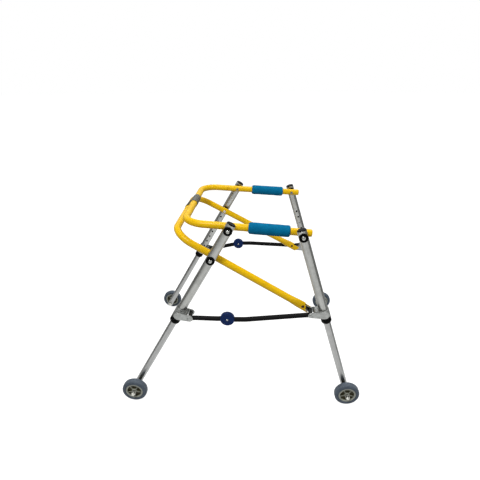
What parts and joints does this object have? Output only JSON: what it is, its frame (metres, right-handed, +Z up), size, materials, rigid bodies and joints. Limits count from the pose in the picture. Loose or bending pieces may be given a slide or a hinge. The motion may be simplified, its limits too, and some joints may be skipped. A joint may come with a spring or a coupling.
{
  "type": "posterior walker",
  "caption": "Folding posterior walker: U-shaped handrail with foam grips, slanting lower frame, telescopic wheeled legs and disc-hinged side struts.",
  "frame": {"origin": "on the floor under the middle of the wheelbase, between the left and right wheels", "axes": "+X towards the open front, the way the user walks, +Y to the user's left, +Z up"},
  "size_m": [0.7916, 0.6258, 0.625],
  "materials": {
    "yellow_paint": "gloss yellow powder coat",
    "aluminium": "satin anodised tube",
    "cast_aluminium": "satin cast",
    "chrome": "bright plated",
    "black_plastic": "moulded black",
    "black_steel": "black painted flat bar",
    "blue_foam": "closed-cell foam sleeve",
    "blue_plastic": "moulded navy blue",
    "grey_plastic": "moulded grey",
    "tyre": "solid grey-blue tread",
    "hub_plastic": "moulded pale grey"
  },
  "bodies": {
    "upper_frame": {"handrail_frame": "yellow_paint", "grip_left": "blue_foam", "grip_right": "blue_foam"},
    "lower_frame": {"lower_frame": "yellow_paint"},
    "clip": {"fold_clip": "grey_plastic"},
    "rear_left_leg": {"rear_left_leg_tube": "aluminium", "rear_left_top_cap": "black_plastic", "rear_left_bracket": "cast_aluminium", "rear_left_collar": "black_plastic", "rear_left_upper_bush": "black_plastic", "rear_left_upper_bolt": "chrome", "rear_left_lower_bolt": "black_plastic"},
    "rear_left_extension": {"rear_left_inner_tube": "aluminium", "rear_left_axle_bolt": "chrome"},
    "rear_left_button": {"rear_left_snap_button": "chrome"},
    "rear_left_wheel": {"rear_left_tyre": "tyre", "rear_left_hub": "hub_plastic"},
    "left_rear_strut": {"left_rear_strut": "black_steel", "left_rear_hinge_disc": "blue_plastic"},
    "rear_right_leg": {"rear_right_leg_tube": "aluminium", "rear_right_top_cap": "black_plastic", "rear_right_bracket": "cast_aluminium", "rear_right_collar": "black_plastic", "rear_right_upper_bush": "black_plastic", "rear_right_upper_bolt": "chrome", "rear_right_lower_bolt": "black_plastic"},
    "rear_right_extension": {"rear_right_inner_tube": "aluminium", "rear_right_axle_bolt": "chrome"},
    "rear_right_button": {"rear_right_snap_button": "chrome"},
    "rear_right_wheel": {"rear_right_tyre": "tyre", "rear_right_hub": "hub_plastic"},
    "right_rear_strut": {"right_rear_strut": "black_steel", "right_rear_hinge_disc": "blue_plastic"},
    "front_left_leg": {"front_left_leg_tube": "aluminium", "front_left_top_cap": "black_plastic", "front_left_bracket": "cast_aluminium", "front_left_collar": "black_plastic", "front_left_upper_bush": "black_plastic", "front_left_upper_bolt": "chrome"},
    "front_left_extension": {"front_left_inner_tube": "aluminium", "front_left_axle_bolt": "chrome"},
    "front_left_button": {"front_left_snap_button": "chrome"},
    "front_left_wheel": {"front_left_tyre": "tyre", "front_left_hub": "hub_plastic"},
    "left_front_strut": {"left_front_strut": "black_steel", "left_front_hinge_disc": "blue_plastic"},
    "front_right_leg": {"front_right_leg_tube": "aluminium", "front_right_top_cap": "black_plastic", "front_right_bracket": "cast_aluminium", "front_right_collar": "black_plastic", "front_right_upper_bush": "black_plastic", "front_right_upper_bolt": "chrome"},
    "front_right_extension": {"front_right_inner_tube": "aluminium", "front_right_axle_bolt": "chrome"},
    "front_right_button": {"front_right_snap_button": "chrome"},
    "front_right_wheel": {"front_right_tyre": "tyre", "front_right_hub": "hub_plastic"},
    "right_front_strut": {"right_front_strut": "black_steel", "right_front_hinge_disc": "blue_plastic"}
  },
  "joints": [
    {"name": "clip_swing", "type": "hinge", "parent": "upper_frame", "child": "clip", "pos_m": [-0.16, 0.015, 0.61008], "axis": [0, 1, 0], "range_deg": [0, 75]},
    {"name": "rear_left_fold", "type": "hinge", "parent": "upper_frame", "child": "rear_left_leg", "pos_m": [-0.0273, 0.23235, 0.601], "axis": [0, -1, 0], "range_deg": [0, 78]},
    {"name": "rear_left_slide", "type": "slide", "parent": "rear_left_leg", "child": "rear_left_extension", "axis": [-0.5053, 0.0259, -0.8625], "range_m": [-0.0508, 0.1016]},
    {"name": "rear_left_button_press", "type": "slide", "parent": "rear_left_extension", "child": "rear_left_button", "axis": [0, 1, 0], "range_m": [0, 0.004], "stiffness_N_per_m": 1500, "springref_m": -0.002},
    {"name": "rear_left_wheel_spin", "type": "hinge", "parent": "rear_left_extension", "child": "rear_left_wheel", "pos_m": [-0.3554, 0.2848, 0.041], "axis": [0, 1, 0], "continuous": true},
    {"name": "left_rear_strut_fold", "type": "hinge", "parent": "rear_left_leg", "child": "left_rear_strut", "pos_m": [-0.15312, 0.2615, 0.31821], "axis": [0, -1, 0], "range_deg": [0, 50.25]},
    {"name": "rear_right_fold", "type": "hinge", "parent": "upper_frame", "child": "rear_right_leg", "pos_m": [-0.0273, -0.23235, 0.601], "axis": [0, -1, 0], "range_deg": [0, 78]},
    {"name": "rear_right_slide", "type": "slide", "parent": "rear_right_leg", "child": "rear_right_extension", "axis": [-0.5053, -0.0259, -0.8625], "range_m": [-0.0508, 0.1016]},
    {"name": "rear_right_button_press", "type": "slide", "parent": "rear_right_extension", "child": "rear_right_button", "axis": [0, -1, 0], "range_m": [0, 0.004], "stiffness_N_per_m": 1500, "springref_m": -0.002},
    {"name": "rear_right_wheel_spin", "type": "hinge", "parent": "rear_right_extension", "child": "rear_right_wheel", "pos_m": [-0.3554, -0.2848, 0.041], "axis": [0, 1, 0], "continuous": true},
    {"name": "right_rear_strut_fold", "type": "hinge", "parent": "rear_right_leg", "child": "right_rear_strut", "pos_m": [-0.15312, -0.2615, 0.31821], "axis": [0, -1, 0], "range_deg": [0, 50.25]},
    {"name": "front_left_fold", "type": "hinge", "parent": "upper_frame", "child": "front_left_leg", "pos_m": [0.1832, 0.24098, 0.5866], "axis": [0, -1, 0], "range_deg": [0, 41.68]},
    {"name": "front_left_slide", "type": "slide", "parent": "front_left_leg", "child": "front_left_extension", "axis": [0.3009, 0.0246, -0.9533], "range_m": [-0.0508, 0.1016]},
    {"name": "front_left_button_press", "type": "slide", "parent": "front_left_extension", "child": "front_left_button", "axis": [0, 1, 0], "range_m": [0, 0.004], "stiffness_N_per_m": 1500, "springref_m": -0.002},
    {"name": "front_left_wheel_spin", "type": "hinge", "parent": "front_left_extension", "child": "front_left_wheel", "pos_m": [0.3554, 0.28481, 0.041], "axis": [0, 1, 0], "continuous": true},
    {"name": "left_front_strut_fold", "type": "hinge", "parent": "front_left_leg", "child": "left_front_strut", "pos_m": [0.21932, 0.2615, 0.33593], "axis": [0, -1, 0], "range_deg": [-60.73, 0]},
    {"name": "front_right_fold", "type": "hinge", "parent": "upper_frame", "child": "front_right_leg", "pos_m": [0.1832, -0.24098, 0.5866], "axis": [0, -1, 0], "range_deg": [0, 41.68]},
    {"name": "front_right_slide", "type": "slide", "parent": "front_right_leg", "child": "front_right_extension", "axis": [0.3009, -0.0246, -0.9533], "range_m": [-0.0508, 0.1016]},
    {"name": "front_right_button_press", "type": "slide", "parent": "front_right_extension", "child": "front_right_button", "axis": [0, -1, 0], "range_m": [0, 0.004], "stiffness_N_per_m": 1500, "springref_m": -0.002},
    {"name": "front_right_wheel_spin", "type": "hinge", "parent": "front_right_extension", "child": "front_right_wheel", "pos_m": [0.3554, -0.28481, 0.041], "axis": [0, 1, 0], "continuous": true},
    {"name": "right_front_strut_fold", "type": "hinge", "parent": "front_right_leg", "child": "right_front_strut", "pos_m": [0.21932, -0.2615, 0.33593], "axis": [0, -1, 0], "range_deg": [-60.73, 0]},
    {"name": "lower_frame_fold", "type": "hinge", "parent": "front_right_leg", "child": "lower_frame", "pos_m": [0.197, -0.23001, 0.34897], "axis": [0, -1, 0], "range_deg": [-31.92, 0]}
  ],
  "couplings": [
    {"joint": "rear_left_fold", "follows": "rear_right_fold", "ratio": 1},
    {"joint": "left_rear_strut_fold", "follows": "rear_right_fold", "ratio": 0.64422},
    {"joint": "right_rear_strut_fold", "follows": "rear_right_fold", "ratio": 0.64422},
    {"joint": "front_left_fold", "follows": "rear_right_fold", "ratio": 0.53433},
    {"joint": "left_front_strut_fold", "follows": "rear_right_fold", "ratio": -0.77853},
    {"joint": "front_right_fold", "follows": "rear_right_fold", "ratio": 0.53433},
    {"joint": "right_front_strut_fold", "follows": "rear_right_fold", "ratio": -0.77853},
    {"joint": "lower_frame_fold", "follows": "rear_right_fold", "ratio": -0.4092}
  ]
}
